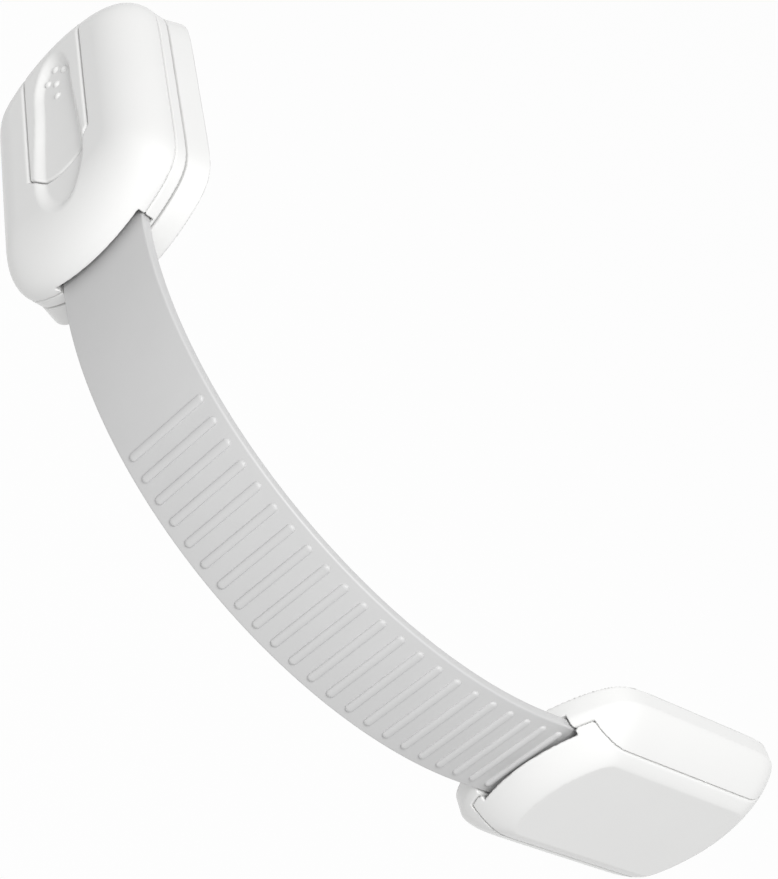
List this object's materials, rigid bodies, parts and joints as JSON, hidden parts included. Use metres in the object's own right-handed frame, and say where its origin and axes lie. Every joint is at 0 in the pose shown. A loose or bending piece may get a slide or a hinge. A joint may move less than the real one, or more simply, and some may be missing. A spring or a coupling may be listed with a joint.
{
  "type": "cabinet safety lock",
  "caption": "Adhesive cabinet safety lock with a ribbed flexible strap between a hinged strap clamp and a slide-off latch head freed by a push button.",
  "frame": {"origin": "middle of the adhesive face of the anchor pad", "axes": "+Y out of the anchor pad's adhesive face into the furniture, -X along the strap as it leaves the anchor, +Z along the bend's axis"},
  "size_m": [0.1368, 0.1389, 0.0414],
  "materials": {
    "white_abs": "glossy moulded",
    "grey_tpe": "satin",
    "foam_tape": "matt foam",
    "pin_steel": "drawn wire",
    "acetal": "natural"
  },
  "bodies": {
    "anchor": {"anchor_base": "white_abs", "anchor_pad": "foam_tape", "strap": "grey_tpe"},
    "lid": {"anchor_lid": "white_abs", "lid_pin": "pin_steel"},
    "latch_head": {"latch_carrier": "white_abs", "latch_cover": "white_abs"},
    "button": {"release_button": "white_abs"},
    "latch_mount": {"latch_base": "white_abs", "latch_pad": "foam_tape", "spring_catch": "acetal"}
  },
  "joints": [
    {"name": "lid_hinge", "type": "hinge", "parent": "anchor", "child": "lid", "pos_m": [0.0245, -0.0072, 0], "axis": [0, 0, 1], "range_deg": [0, 80]},
    {"name": "strap_bend", "type": "hinge", "parent": "anchor", "child": "latch_head", "pos_m": [-0.07717, 0.02374, 0], "axis": [0, 0, -1], "range_deg": [-25, 15], "stiffness_Nm_per_rad": 0.004, "deforming": ["strap"]},
    {"name": "button_press", "type": "hinge", "parent": "latch_head", "child": "button", "pos_m": [-0.10288, 0.09377, 0], "axis": [0, 0, -1], "range_deg": [0, 4], "stiffness_Nm_per_rad": 2.5, "deforming": ["spring_catch"]},
    {"name": "base_slide", "type": "slide", "parent": "latch_head", "child": "latch_mount", "axis": [0.1132, 0.9936, 0], "range_m": [0, 0.05], "deforming": ["spring_catch"]}
  ]
}
